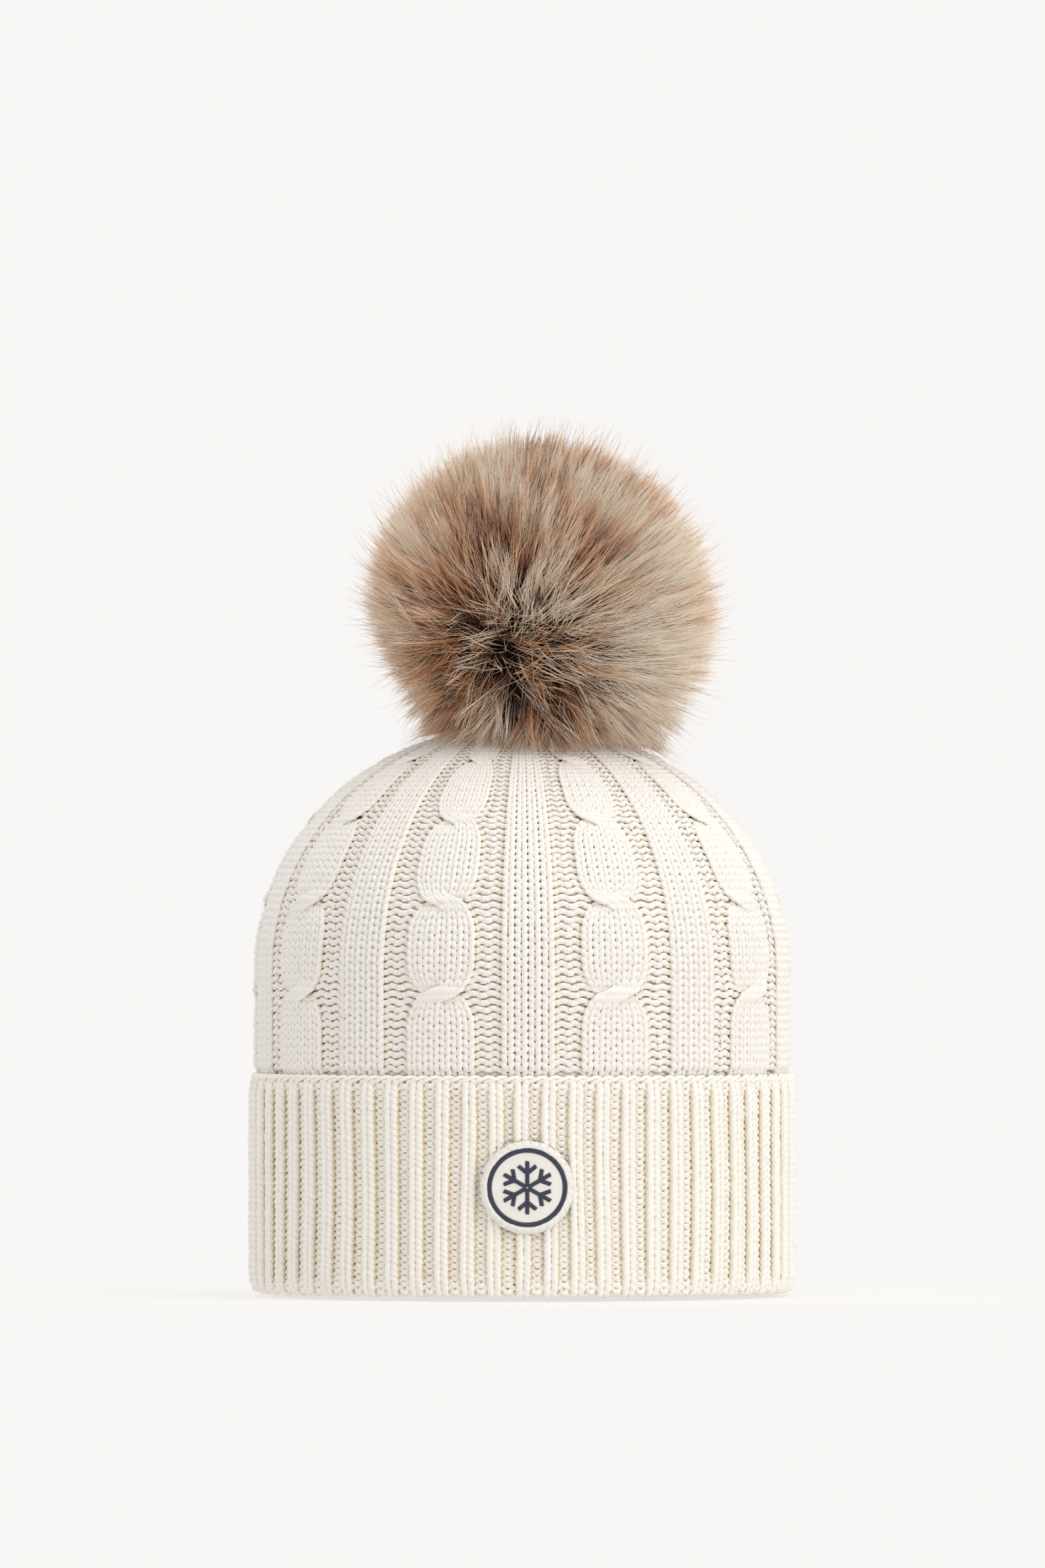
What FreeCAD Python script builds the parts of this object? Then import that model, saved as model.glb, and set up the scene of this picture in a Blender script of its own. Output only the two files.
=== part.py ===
# Pom pom beanie: a cable-knit hat with a turned-up ribbed cuff, a sewn patch and a fur pom on a press stud.
#
# Millimetres, +Z up. The origin is the middle of the rim that the hat stands on, and the front of
# the hat, with its patch, faces -Y. The knitted shell is round about the Z axis. From the inside out
# it is a fleece ear band, the inner half of the ribbed band and the turned-up cuff; the cabled crown
# rises from the inner band, closes in a gathered ring at the top and carries the male half of a
# press stud. The pom is a fur ball on the female half, so it turns on the stud and pulls off upwards.

import FreeCAD, Part
import Sketcher
import os

SIZES = [
    # The knitted shell
    ("cuff_radius", 89.0),  # outside of the turned-up cuff: 560 mm round
    ("cuff_height", 72.6),
    ("knit_wall", 3.6),  # one layer of rib
    ("layer_gap", 0.2),  # air between two layers of fabric
    ("lip_gap", 0.4),  # air between the cuff's lip and the crown above it
    ("fold_rounding", 2.8),  # bottom fold of the cuff
    ("lip_rounding", 1.6),  # cast-off edge at the cuff's top
    ("band_top", 68.0),  # where the rib ends and the cables begin, under the cuff
    ("crown_radius", 87.0),
    ("crown_rise", 81.0),  # from the widest level to the unflattened top
    ("widest_level", 105.4),
    ("crown_wall", 4.2),
    ("crown_flat", 185.0),  # the level that the press stud presses the top flat to
    ("gather_hole", 6.4),
    ("gather_yarn", 0.9),
    ("gather_play", 0.1),  # between the gathering yarn and the hole that it closes
    ("gather_depth", 2.0),  # from the flat top down to the middle of the yarn
    ("seam_depth", 1.2),
    ("seam_width", 2.4),
    ("seam_top", 172.0),
    # The fleece ear band
    ("fleece_wall", 2.0),
    ("fleece_bottom", 6.0),
    ("fleece_top", 62.0),
    ("edge_thread", 0.45),
    ("edge_thread_out", 0.6),  # from the fleece's edge to the middle of its overlocking
    # The sewn patch on the front of the cuff
    ("patch_radius", 14.9),
    ("patch_across", 1.5),  # to the wearer's left of the middle
    ("patch_level", 36.6),
    ("backing_thickness", 0.35),
    ("backing_gap", 0.02),
    ("backing_inset", 0.8),
    ("felt_thickness", 1.2),
    ("border_outer", 12.9),
    ("border_inner", 11.2),
    ("thread_height", 0.5),  # satin stitch above the felt
    ("flake_span", 17.0),
    ("flake_bar", 1.3),
    ("twig_length", 3.4),
    ("stitch_circle", 13.9),
    ("stitch_length", 1.3),
    ("stitch_width", 0.4),
    ("stitch_height", 0.3),
    # The press stud
    ("disc_thickness", 1.2),
    ("outer_disc_radius", 13.0),
    ("inner_disc_radius", 15.0),
    ("post_radius", 2.0),
    ("post_play", 0.05),
    ("cap_radius", 7.0),
    ("cap_thickness", 1.0),
    ("stud_flange", 0.8),
    ("stud_flange_radius", 6.5),
    ("stud_neck", 0.9),
    ("stud_neck_radius", 2.9),
    ("stud_head", 1.5),
    ("stud_head_radius", 3.4),
    ("stud_roof", 0.8),  # metal left over the bore in the head
    ("socket_radius", 6.6),
    ("socket_bore", 3.6),
    ("socket_depth", 2.5),
    ("socket_web", 1.2),
    ("socket_play", 0.3),  # between the stud's flange and the socket
    ("groove_level", 0.6),  # from the socket's open end
    ("groove_height", 0.8),
    ("groove_depth", 0.7),
    ("spring_wire", 0.3),
    # The pom
    ("base_disc_radius", 17.0),
    ("core_radius", 34.0),  # outside of the backing fabric
    ("core_lean", 3.0),  # how far the ball sits off the stud
    ("core_level", 225.0),
    ("skin_thickness", 1.5),
    ("neck_radius", 12.6),
    ("neck_cord", 0.7),
    ("cord_level", 2.0),  # above the base disc
    ("filling_bottom", 195.3),
    ("fur_radius", 59.5),
    ("fur_lean", 5.0),
    ("fur_level", 219.5),
    ("fur_play", 0.8),  # between the fur and what it turns over
    ("fur_well_radius", 18.5),
    ("fur_well_top", 194.5),
    # The care label in the back seam
    ("label_hinge", 80.5),
    ("label_bottom", 76.0),
    ("label_height", 32.0),
    ("label_length", 23.0),
    ("label_thickness", 0.8),
    ("label_gap", 0.6),
    ("label_lean", 7.0),  # degrees in from the seam's tangent
    ("label_thread", 0.35),
    # Not a size of the hat
    ("overrun", 5.0),  # how far a cutting shape runs past what it cuts
]
STITCHES = 34
FLAKE_ARMS = 6
FLAKE_TURN = 30  # degrees from level to the first arm
TWIG_SHARE = 0.75  # how much of a twig's length its middle lies in from the arm's tip
TWIG_SPREAD = 11  # degrees about the patch from an arm to its twigs
TWIG_TILT = 40  # degrees from an arm's direction to a twig's
LABEL_STITCHES = 4
LABEL_STITCH_SHARE = 0.6  # how much of a stitch's pitch shows as thread
SPRING_TURN = 330  # degrees round a ring spring that is open on one side
FULL_TURN = 360

doc = FreeCAD.newDocument("pom_pom_beanie")


class Size:
    """A length: its value and the spreadsheet formula that gives it."""

    def __init__(self, formula, value):
        self.formula = formula
        self.value = value

    def joined(self, sign, other, value):
        right = other.formula if isinstance(other, Size) else str(other)
        return Size(f"({self.formula} {sign} {right})", value)

    def __add__(self, other):
        return self.joined("+", other, self.value + plain(other))

    def __sub__(self, other):
        return self.joined("-", other, self.value - plain(other))

    def __mul__(self, other):
        return self.joined("*", other, self.value * plain(other))

    def __truediv__(self, other):
        return self.joined("/", other, self.value / plain(other))


ZERO = Size("0", 0.0)


def plain(size):
    return size.value if isinstance(size, Size) else size


def sized(number):
    return number if isinstance(number, Size) else Size(str(number), number)


class Sheet:
    """The driving dimensions, each one an attribute of this object."""

    def __init__(self, rows):
        sheet = doc.addObject("Spreadsheet::Sheet", "Sizes")
        for row, (name, value) in enumerate(rows, 1):
            sheet.set(f"A{row}", name)
            sheet.set(f"B{row}", str(value))
            sheet.setAlias(f"B{row}", name)
            setattr(self, name, Size(f"Sizes.{name}", value))


size = Sheet(SIZES)
doc.recompute()


def bind(thing, prop, value):
    thing.setExpression(prop, sized(value).formula)


def move(thing, x=0, y=0, z=0):
    """Puts a thing's own origin at x, y, z."""
    for axis, value in (("x", x), ("y", y), ("z", z)):
        bind(thing, f"Placement.Base.{axis}", value)


# ---------------------------------------------------------------- turned pieces


def origin_feature(body, role):
    return next(f for f in body.Origin.OriginFeatures if f.Role == role)


def hold_corner(sketch, line, across, up):
    """Fixes the start of a line of the sketch at across, up."""
    for kind, axis, value in (("DistanceX", -2, across), ("DistanceY", -1, up)):
        if value.value == 0:
            sketch.addConstraint(Sketcher.Constraint("PointOnObject", line, 1, axis))
            continue
        index = sketch.addConstraint(Sketcher.Constraint(kind, -1, 1, line, 1, value.value))
        name = f"corner_{line}_{kind}"
        sketch.renameConstraint(index, name)
        bind(sketch, f"Constraints.{name}", value)


def outline(body, plane, corners):
    """A closed sketch of straight lines through corners, on one of the body's own planes."""
    sketch = body.newObject("Sketcher::SketchObject", body.Name + "_outline")
    sketch.AttachmentSupport = (origin_feature(body, plane), [""])
    sketch.MapMode = "FlatFace"
    points = [FreeCAD.Vector(across.value, up.value, 0) for across, up in corners]
    for start, end in zip(points, points[1:] + points[:1]):
        sketch.addGeometry(Part.LineSegment(start, end), False)
    for line in range(len(corners)):
        sketch.addConstraint(Sketcher.Constraint("Coincident", line, 2, (line + 1) % len(corners), 1))
    for line, (across, up) in enumerate(corners):
        hold_corner(sketch, line, across, up)
    return sketch


def turned(label, corners):
    """A body of revolution about Z from its half section, as (radius, level) corners."""
    body = doc.addObject("PartDesign::Body", label)
    sketch = outline(body, "XZ_Plane", corners)
    turn = body.newObject("PartDesign::Revolution", label + "_turn")
    turn.Profile = sketch
    turn.ReferenceAxis = (sketch, ["V_Axis"])
    turn.Angle = FULL_TURN
    doc.recompute()
    return body


def ring(label, inner, outer, bottom, top):
    return turned(label, [(inner, bottom), (outer, bottom), (outer, top), (inner, top)])


def round_rims(body, rims, radius):
    """Fillets a turned body's circular edges, given as (radius, level)."""
    base = body.Tip
    chosen = []
    for number, edge in enumerate(base.Shape.Edges, 1):
        if edge.Curve.TypeId != "Part::GeomCircle":
            continue
        for rim_radius, level in rims:
            at_level = abs(edge.Curve.Center.z - level.value) < 1e-6
            if at_level and abs(edge.Curve.Radius - rim_radius.value) < 1e-6:
                chosen.append(f"Edge{number}")
    fillet = body.newObject("PartDesign::Fillet", f"{body.Name}_round_{len(body.Group)}")
    fillet.Base = (base, chosen)
    bind(fillet, "Radius", radius)
    doc.recompute()


# ---------------------------------------------------------------- primitives and booleans


def cylinder(name, radius, bottom, top):
    thing = doc.addObject("Part::Cylinder", name)
    bind(thing, "Radius", radius)
    bind(thing, "Height", top - bottom)
    move(thing, z=bottom)
    return thing


def ball(name, radius, x, z):
    thing = doc.addObject("Part::Sphere", name)
    bind(thing, "Radius", radius)
    move(thing, x=x, z=z)
    return thing


def thread_ring(name, radius, wire, level, turn=FULL_TURN):
    thing = doc.addObject("Part::Torus", name)
    bind(thing, "Radius1", radius)
    bind(thing, "Radius2", wire)
    thing.Angle3 = turn
    move(thing, z=level)
    return thing


def joined(name, parts):
    thing = doc.addObject("Part::MultiFuse", name)
    thing.Shapes = parts
    return thing


def cut(name, base, tool):
    thing = doc.addObject("Part::Cut", name)
    thing.Base = base
    thing.Tool = tool
    return thing


def common(name, base, tool):
    thing = doc.addObject("Part::Common", name)
    thing.Base = base
    thing.Tool = tool
    return thing


def dome(name, radius, rise, bottom, top):
    """A straight side with half an ellipsoid on it, cut flat at the top."""
    side = cylinder(name + "_side", radius, bottom, size.widest_level)
    bowl = doc.addObject("Part::Ellipsoid", name + "_bowl")
    bind(bowl, "Radius1", rise)
    bind(bowl, "Radius2", radius)
    bind(bowl, "Radius3", radius)
    bowl.Angle1 = 0
    bowl.Angle2 = 90
    move(bowl, z=size.widest_level)
    whole = joined(name + "_whole", [side, bowl])
    room = cylinder(name + "_room", radius + size.overrun, bottom, top)
    return common(name, whole, room)


# ---------------------------------------------------------------- the knitted shell

band_outer = size.cuff_radius - size.knit_wall - size.layer_gap
band_inner = band_outer - size.knit_wall + size.layer_gap
inner_radius = size.crown_radius - size.crown_wall
inner_rise = size.crown_rise - size.crown_wall
inner_flat = size.crown_flat - size.crown_wall
cuff_clear = size.cuff_height + size.lip_gap


def cuff():
    """The turned-up half of the rib: a tall outer wall and the fold that runs under the inner band."""
    outer = size.cuff_radius
    fold_top = size.knit_wall
    wall_inner = size.cuff_radius - size.knit_wall
    body = turned(
        "turned_up_cuff",
        [
            (band_inner, ZERO),
            (outer, ZERO),
            (outer, size.cuff_height),
            (wall_inner, size.cuff_height),
            (wall_inner, fold_top),
            (band_inner, fold_top),
        ],
    )
    round_rims(body, [(outer, ZERO), (band_inner, ZERO)], size.fold_rounding)
    round_rims(body, [(outer, size.cuff_height), (wall_inner, size.cuff_height)], size.lip_rounding)
    return body


def crown():
    """The cabled part: straight above the cuff, domed to a flat gathered top, tucked into the cuff."""
    outer = dome("crown_outer", size.crown_radius, size.crown_rise, cuff_clear, size.crown_flat)
    tuck = cylinder("crown_tuck", band_outer, size.band_top, cuff_clear + size.overrun)
    inner = dome("crown_hollow", inner_radius, inner_rise, cuff_clear, inner_flat)
    below = size.band_top - size.overrun
    tuck_hollow = cylinder("crown_tuck_hollow", band_inner, below, cuff_clear + size.overrun)
    hole = cylinder("crown_hole", size.gather_hole, inner_flat - size.overrun, size.crown_flat + size.overrun)
    solid = joined("crown_solid", [outer, tuck])
    hollow = joined("crown_inside", [inner, tuck_hollow, hole])
    return cut("crown_knit", solid, hollow)


def back_seam():
    """The linked seam: a ridge up the inside of the crown, at the back."""
    ridge_radius = inner_radius - size.seam_depth
    outer = dome("seam_outer", inner_radius, inner_rise, cuff_clear, size.seam_top)
    inner = dome("seam_inner", ridge_radius, inner_rise - size.seam_depth, cuff_clear, size.seam_top)
    lining = cut("seam_lining", outer, inner)
    strip = doc.addObject("Part::Box", "seam_strip")
    bind(strip, "Length", size.seam_width)
    bind(strip, "Width", size.crown_radius)
    bind(strip, "Height", size.seam_top - cuff_clear)
    move(strip, x=ZERO - size.seam_width / 2, z=cuff_clear)
    return common("back_seam", lining, strip)


def fleece_edge_threads():
    """The overlocking along the two edges of the ear band."""
    middle = band_inner - size.fleece_wall / 2
    low_level = size.fleece_bottom - size.edge_thread_out
    high_level = size.fleece_top + size.edge_thread_out
    low = thread_ring("low_edge_thread", middle, size.edge_thread, low_level)
    high = thread_ring("high_edge_thread", middle, size.edge_thread, high_level)
    group = doc.addObject("Part::Compound", "fleece_band_stitching")
    group.Links = [low, high]
    return group


def knitted_shell():
    yarn_radius = size.gather_hole - size.gather_yarn - size.gather_play
    yarn_level = size.crown_flat - size.gather_depth
    band_low = size.knit_wall + size.layer_gap
    band_high = size.band_top - size.layer_gap
    fleece_outer = band_inner - size.layer_gap
    fleece_inner = fleece_outer - size.fleece_wall
    return [
        crown(),
        thread_ring("crown_gather_yarn", yarn_radius, size.gather_yarn, yarn_level),
        back_seam(),
        ring("inner_band", band_inner, band_outer, band_low, band_high),
        cuff(),
        ring("fleece_band", fleece_inner, fleece_outer, size.fleece_bottom, size.fleece_top),
        fleece_edge_threads(),
    ]


# ---------------------------------------------------------------- the patch

patch_floor = size.cuff_radius + size.backing_gap
felt_floor = patch_floor + size.backing_thickness
felt_face = felt_floor + size.felt_thickness
patch_reach = size.cuff_radius + size.overrun


def layer(name, inner, outer):
    """A tube about Z as thick as one layer of the patch."""
    low = size.patch_level - size.patch_radius - size.overrun
    high = size.patch_level + size.patch_radius + size.overrun
    return cut(name, cylinder(name + "_out", outer, low, high), cylinder(name + "_in", inner, low, high))


def stamp(name, radius):
    """A cylinder from the hat's axis through the patch, towards the front."""
    thing = doc.addObject("Part::Cylinder", name)
    bind(thing, "Radius", radius)
    bind(thing, "Height", patch_reach)
    thing.Placement.Rotation = FreeCAD.Rotation(FreeCAD.Vector(1, 0, 0), 90)
    move(thing, x=size.patch_across, z=size.patch_level)
    return thing


def bar(name, along, width, reach, spin, tilt=0.0):
    """A bar seen from the front as along by width, its middle at reach and spin about the patch."""
    thing = doc.addObject("Part::Box", name)
    bind(thing, "Length", along)
    bind(thing, "Width", patch_reach)
    bind(thing, "Height", width)
    about_y = FreeCAD.Vector(0, 1, 0)
    turn = FreeCAD.Rotation(about_y, spin + tilt)
    offset = turn.multVec(FreeCAD.Vector(-along.value / 2, 0, -width.value / 2))
    arm = FreeCAD.Rotation(about_y, spin).multVec(FreeCAD.Vector(reach, 0, 0))
    middle = FreeCAD.Vector(size.patch_across.value, -patch_reach.value, size.patch_level.value)
    place = middle + offset + arm
    thing.Placement = FreeCAD.Placement(place, turn)
    return thing


def snowflake():
    """Three long bars and a pair of twigs on each of the six arms."""
    bars = []
    reach = size.flake_span.value / 2 - size.twig_length.value * TWIG_SHARE
    for arm in range(FLAKE_ARMS):
        spin = FULL_TURN / FLAKE_ARMS * arm + FLAKE_TURN
        if arm < FLAKE_ARMS / 2:
            bars.append(bar(f"flake_arm_{arm}", size.flake_span, size.flake_bar, 0, spin))
        for name, side in (("left", -1), ("right", 1)):
            twig_spin = spin + side * TWIG_SPREAD
            name = f"flake_twig_{arm}_{name}"
            bars.append(bar(name, size.twig_length, size.flake_bar, reach, twig_spin, side * TWIG_TILT))
    return joined("flake", bars)


def edge_stitches():
    """Short stitches round the felt's edge that hold the patch on the cuff."""
    return joined(
        "stitch_bars",
        [
            bar(
                f"stitch_bar_{i}",
                size.stitch_length,
                size.stitch_width,
                size.stitch_circle.value,
                FULL_TURN / STITCHES * i,
            )
            for i in range(STITCHES)
        ],
    )


def patch():
    thread_face = felt_face + size.thread_height
    border_hole = stamp("border_in", size.border_inner)
    border = cut("border_stamp", stamp("border_out", size.border_outer), border_hole)
    backing_stamp = stamp("backing_stamp", size.patch_radius - size.backing_inset)
    felt_stamp = stamp("felt_stamp", size.patch_radius)
    stitch_layer = layer("stitch_layer", felt_face, felt_face + size.stitch_height)
    return [
        common("patch_backing", layer("backing_layer", patch_floor, felt_floor), backing_stamp),
        common("patch_felt", layer("felt_layer", felt_floor, felt_face), felt_stamp),
        common("patch_border", layer("border_layer", felt_face, thread_face), border),
        common("patch_emblem", layer("emblem_layer", felt_face, thread_face), snowflake()),
        common("patch_stitches", stitch_layer, edge_stitches()),
    ]


# ---------------------------------------------------------------- the press stud

post_hole = size.post_radius + size.post_play
stud_base = size.crown_flat + size.disc_thickness
stud_neck_base = stud_base + size.stud_flange
stud_head_base = stud_neck_base + size.stud_neck
stud_top = stud_head_base + size.stud_head
stud_bore_top = stud_top - size.stud_roof
socket_base = stud_neck_base + size.socket_play
socket_web = socket_base + size.socket_depth
socket_top = socket_web + size.socket_web
base_disc_top = socket_top + size.disc_thickness


def stud():
    """The male half: a flange, a neck and a head, hollow for the post that is pressed into it."""
    return turned(
        "snap_stud",
        [
            (post_hole, stud_base),
            (size.stud_flange_radius, stud_base),
            (size.stud_flange_radius, stud_neck_base),
            (size.stud_neck_radius, stud_neck_base),
            (size.stud_neck_radius, stud_head_base),
            (size.stud_head_radius, stud_head_base),
            (size.stud_head_radius, stud_top),
            (ZERO, stud_top),
            (ZERO, stud_bore_top),
            (post_hole, stud_bore_top),
        ],
    )


def cap(label, face, post_end, outwards):
    """A flat cap with a post: its face lies on a disc, and its post ends inside the other half."""
    back = face - size.cap_thickness * outwards
    return turned(
        label,
        [
            (ZERO, back),
            (size.cap_radius, back),
            (size.cap_radius, face),
            (size.post_radius, face),
            (size.post_radius, post_end),
            (ZERO, post_end),
        ],
    )


def socket():
    """The female half: a bore for the stud's head, with a groove that holds the ring spring."""
    groove_bottom = socket_base + size.groove_level
    groove_top = groove_bottom + size.groove_height
    groove_radius = size.socket_bore + size.groove_depth
    return turned(
        "snap_socket",
        [
            (size.socket_bore, socket_base),
            (size.socket_radius, socket_base),
            (size.socket_radius, socket_top),
            (post_hole, socket_top),
            (post_hole, socket_web),
            (size.socket_bore, socket_web),
            (size.socket_bore, groove_top),
            (groove_radius, groove_top),
            (groove_radius, groove_bottom),
            (size.socket_bore, groove_bottom),
        ],
    )


def press_stud():
    inner_disc_bottom = inner_flat - size.disc_thickness
    spring_radius = size.socket_bore + size.spring_wire
    spring_level = socket_base + size.groove_level + size.groove_height / 2
    return [
        ring("outer_disc", post_hole, size.outer_disc_radius, size.crown_flat, stud_base),
        ring("inner_disc", post_hole, size.inner_disc_radius, inner_disc_bottom, inner_flat),
        stud(),
        cap("snap_stud_cap", inner_disc_bottom, stud_bore_top - size.post_play, 1),
        socket(),
        thread_ring("snap_spring", spring_radius, size.spring_wire, spring_level, SPRING_TURN),
        cap("snap_socket_cap", base_disc_top, socket_web + size.post_play * 2, -1),
    ]


# ---------------------------------------------------------------- the pom


def fur():
    """The pile: a ball, hollow for the core, hollowed below where it lies over the crown."""
    pile = ball("fur_ball", size.fur_radius, size.fur_lean, size.fur_level)
    core = ball("fur_core", size.core_radius + size.layer_gap, size.core_lean, size.core_level)
    crown_rise = size.crown_rise + size.fur_play
    crown_room = dome(
        "fur_crown_room",
        size.crown_radius + size.fur_play,
        crown_rise,
        size.band_top,
        size.widest_level + crown_rise,
    )
    well = cylinder("fur_well", size.fur_well_radius, size.widest_level, size.fur_well_top)
    return cut("pom_fur", pile, joined("fur_room", [core, crown_room, well]))


def skin():
    """The backing fabric, drawn in round a neck at the bottom."""
    outside = ball("skin_outside", size.core_radius, size.core_lean, size.core_level)
    inside = ball("skin_inside", size.core_radius - size.skin_thickness, size.core_lean, size.core_level)
    neck = cylinder("skin_neck", size.neck_radius, size.crown_flat, size.core_level)
    return cut("pom_skin", outside, joined("skin_room", [inside, neck]))


def filling():
    """The stuffing ball, flat where it meets the base."""
    radius = size.core_radius - size.skin_thickness - size.layer_gap
    whole = ball("filling_ball", radius, size.core_lean, size.core_level)
    floor_radius = size.core_radius + size.overrun
    floor = cylinder("filling_floor", floor_radius, size.crown_flat, size.filling_bottom)
    return cut("pom_filling", whole, floor)


def pom():
    cord_radius = size.neck_radius - size.neck_cord - size.layer_gap
    return [
        ring("pom_base_disc", post_hole, size.base_disc_radius, socket_top, base_disc_top),
        skin(),
        filling(),
        thread_ring("pom_drawstring", cord_radius, size.neck_cord, base_disc_top + size.cord_level),
        fur(),
    ]


# ---------------------------------------------------------------- the care label


def care_label():
    """A folded loop of tape that turns like a page about the back seam."""
    body = doc.addObject("PartDesign::Body", "care_label")
    half = size.label_thickness / 2
    corners = [
        (size.label_gap, ZERO),
        (size.label_gap + size.label_length, ZERO),
        (size.label_gap + size.label_length, size.label_thickness),
        (size.label_gap, size.label_thickness),
    ]
    sketch = outline(body, "XY_Plane", corners)
    pad = body.newObject("PartDesign::Pad", "care_label_pad")
    pad.Profile = sketch
    bind(pad, "Length", size.label_height)
    turn = FreeCAD.Rotation(FreeCAD.Vector(0, 0, 1), -size.label_lean.value)
    body.Placement.Rotation = turn
    move(body, y=size.label_hinge - half, z=size.label_bottom)
    return body


def care_label_stitches():
    """Running stitches along the label's sewn edge."""
    pitch = size.label_height / LABEL_STITCHES
    length = pitch * LABEL_STITCH_SHARE
    threads = []
    for i in range(LABEL_STITCHES):
        bottom = size.label_bottom + pitch * i + (pitch - length) / 2
        thread = cylinder(f"label_thread_{i}", size.label_thread, bottom, bottom + length)
        move(thread, y=size.label_hinge, z=bottom)
        threads.append(thread)
    group = doc.addObject("Part::Compound", "care_label_stitches")
    group.Links = threads
    return group


# ---------------------------------------------------------------- checks and files


def check(things):
    """Stops unless every object of the document is sound and every piece is a valid solid."""
    doc.recompute()
    for thing in doc.Objects:
        if "Invalid" in thing.State or "Error" in thing.State:
            raise RuntimeError(f"{thing.Name} failed: {thing.State}")
    for thing in things:
        shape = thing.Shape
        if shape.isNull() or not shape.isValid() or not shape.Solids:
            raise RuntimeError(f"{thing.Label} is not a valid solid")


def write(things):
    os.makedirs("parts", exist_ok=True)
    for thing in things:
        thing.Shape.exportStep(f"parts/{thing.Label}.step")
        box = thing.Shape.BoundBox
        volume = thing.Shape.Volume / 1000
        print(
            f"{thing.Label:24s} {len(thing.Shape.Solids):3d} solids {volume:9.3f} cm3"
            f"  z {box.ZMin:7.2f} to {box.ZMax:7.2f}  width {box.XLength:7.2f}"
        )


def main():
    pieces = knitted_shell() + patch() + press_stud() + pom()
    pieces += [care_label(), care_label_stitches()]
    check(pieces)
    write(pieces)


main()
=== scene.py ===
import math

import bpy
import numpy as np
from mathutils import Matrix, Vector
from mathutils.kdtree import KDTree


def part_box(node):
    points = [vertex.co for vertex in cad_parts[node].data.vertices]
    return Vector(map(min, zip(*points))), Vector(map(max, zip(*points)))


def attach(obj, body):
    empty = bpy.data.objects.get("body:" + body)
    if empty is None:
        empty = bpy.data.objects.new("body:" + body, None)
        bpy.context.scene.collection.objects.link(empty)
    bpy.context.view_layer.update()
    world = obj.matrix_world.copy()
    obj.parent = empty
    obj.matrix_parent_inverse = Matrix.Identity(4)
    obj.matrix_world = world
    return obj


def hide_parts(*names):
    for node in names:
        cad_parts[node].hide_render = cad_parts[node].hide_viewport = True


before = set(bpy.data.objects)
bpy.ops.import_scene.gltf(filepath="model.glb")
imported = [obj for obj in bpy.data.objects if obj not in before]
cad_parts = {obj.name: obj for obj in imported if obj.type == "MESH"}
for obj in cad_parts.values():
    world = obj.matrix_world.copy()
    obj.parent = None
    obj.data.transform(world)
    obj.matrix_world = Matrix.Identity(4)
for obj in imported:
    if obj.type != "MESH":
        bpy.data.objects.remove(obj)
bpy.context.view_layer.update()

# The looks of a cable-knit beanie with a fur pom. The frame gives every size and place; this script
# adds the yarn of the knitted shell, stitch by stitch, the fur of the pom, hair by hair, the threads
# of the patch, and a material for each piece. Metres, +Z up, and the front of the hat faces -Y.

MM = 0.001
TURN = 2 * math.pi
REPEATS = 9  # cables round the crown
CABLE_WALES = 6
PURL_WALES = 2  # on each side of a cable
COLUMN_WALES = 4
REPEAT_WALES = CABLE_WALES + 2 * PURL_WALES + COLUMN_WALES
WALES = REPEATS * REPEAT_WALES
LAST_SLOTS = np.cumsum([CABLE_WALES, PURL_WALES, COLUMN_WALES, PURL_WALES]) - 1  # of each group of wales
UV_LAYER = "OFBake"


# ---- sizes from the frame


def high(node):
    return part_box(node)[1]


def low(node):
    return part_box(node)[0]


CUFF_RADIUS = high("turned_up_cuff").x
CUFF_TOP = high("turned_up_cuff").z
CROWN_RADIUS = high("crown_knit").x
CROWN_FLAT = high("crown_knit").z
CROWN_RELIEF = 2.0 * MM  # from the middle of the yarn layer to the outside of the CAD solid
CUFF_RELIEF = 2.6 * MM
WIDEST_LEVEL = 105.4 * MM
CROWN_RISE = 81.0 * MM  # from the widest level to the unflattened top
HAT_MIDDLE = (0, 0, 80 * MM)
PATCH_CENTRE = (low("patch_felt") + high("patch_felt")) / 2
PATCH_RADIUS = (high("patch_felt").x - low("patch_felt").x) / 2
FELT_FACE = -low("patch_felt").y - CUFF_RADIUS  # how far the felt stands off the cuff
EDGE_STITCHES = 34  # round the patch
CORE_CENTRE = (low("pom_skin") + high("pom_skin")) / 2
CORE_RADIUS = (high("pom_skin").x - low("pom_skin").x) / 2
CORE_CENTRE.z = high("pom_skin").z - CORE_RADIUS
FUR_RADIUS = (high("pom_fur").x - low("pom_fur").x) / 2
FUR_CENTRE = Vector(((low("pom_fur").x + high("pom_fur").x) / 2, 0, high("pom_fur").z - FUR_RADIUS))


# ---- small tools


def smooth(x):
    """0 below 0, 1 above 1 and an S between."""
    x = np.clip(x, 0, 1)
    return x * x * (3 - 2 * x)


def unit(v):
    return v / np.linalg.norm(v, axis=-1, keepdims=True)


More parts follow.
